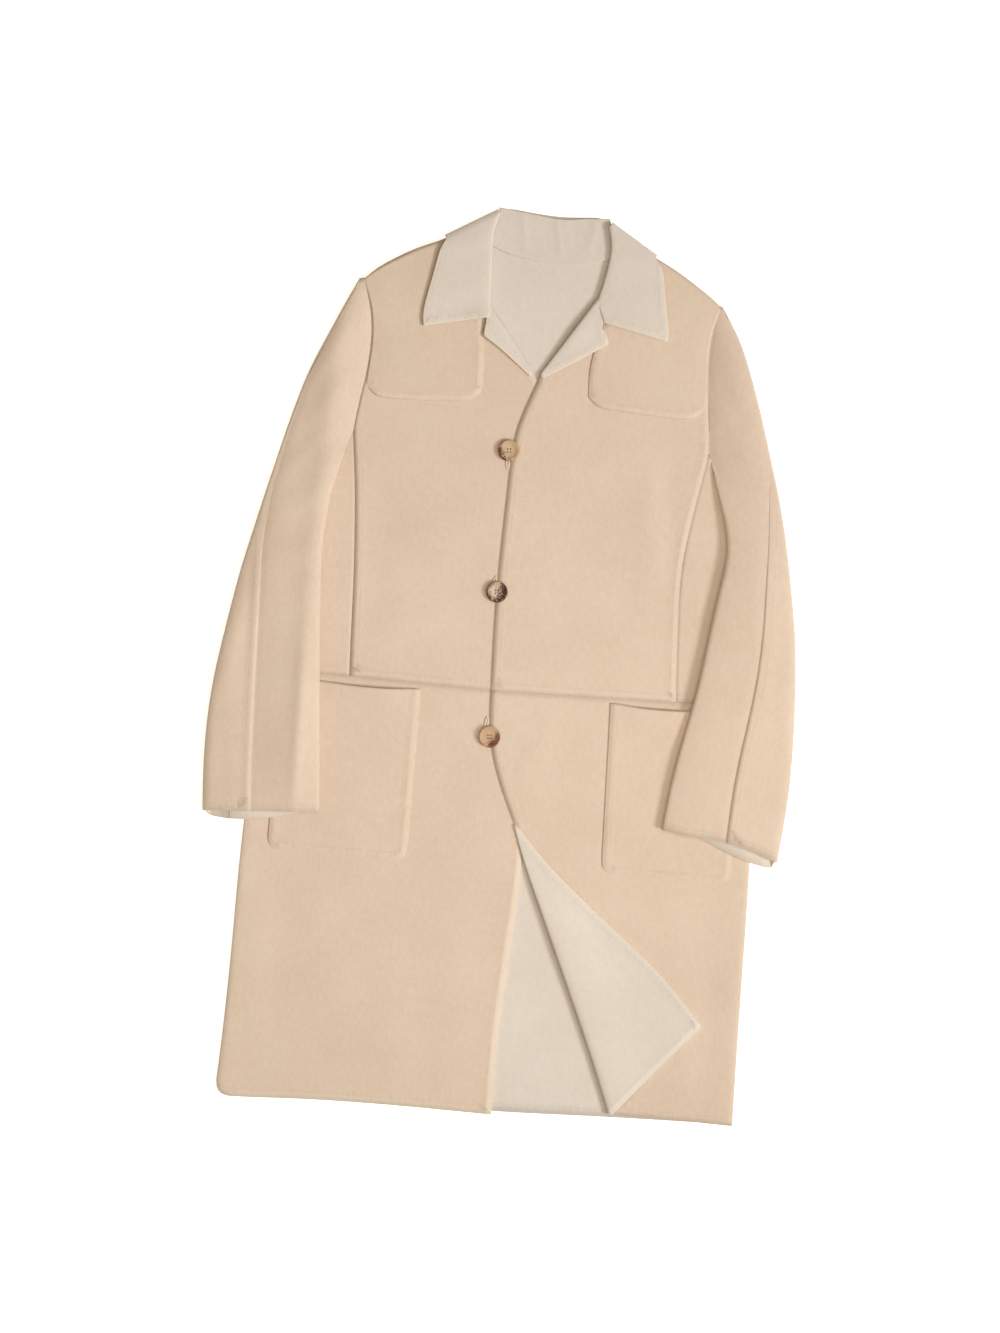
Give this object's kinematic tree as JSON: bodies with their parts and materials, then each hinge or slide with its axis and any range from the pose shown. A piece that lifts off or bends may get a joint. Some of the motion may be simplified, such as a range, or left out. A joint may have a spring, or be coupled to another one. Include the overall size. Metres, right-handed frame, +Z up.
{
  "type": "long coat",
  "caption": "Long unlined wool coat laid flat on its back, buttoned, with notched collar, patch pockets, shoulder yokes and one front corner turned back.",
  "frame": {"origin": "on the surface it lies on, under the middle of its bounding box", "axes": "+X to the viewer's right, +Y from hem to collar, +Z up from the surface"},
  "size_m": [0.7058, 1.0874, 0.0171],
  "materials": {
    "wool_outside": "brushed felted wool, beige side",
    "wool_inside": "brushed felted wool, cream side",
    "horn": "polished mottled horn",
    "cord": "twisted cord"
  },
  "bodies": {
    "root": {"back": "wool_outside", "front_left": "wool_outside", "front_right": "wool_outside", "side_front_left": "wool_outside", "side_front_right": "wool_outside", "skirt_left": "wool_outside", "skirt_right": "wool_outside", "yoke_left": "wool_outside", "yoke_right": "wool_outside", "pocket_left": "wool_outside", "pocket_right": "wool_outside", "sleeve_front_left": "wool_outside", "sleeve_front_right": "wool_outside", "sleeve_back_left": "wool_outside", "sleeve_back_right": "wool_outside", "collar": "wool_inside", "collar_stand": "wool_inside", "button_top": "horn", "button_middle": "horn", "button_bottom": "horn", "loop_top": "cord", "loop_middle": "cord", "loop_bottom": "cord"}
  },
  "joints": []
}
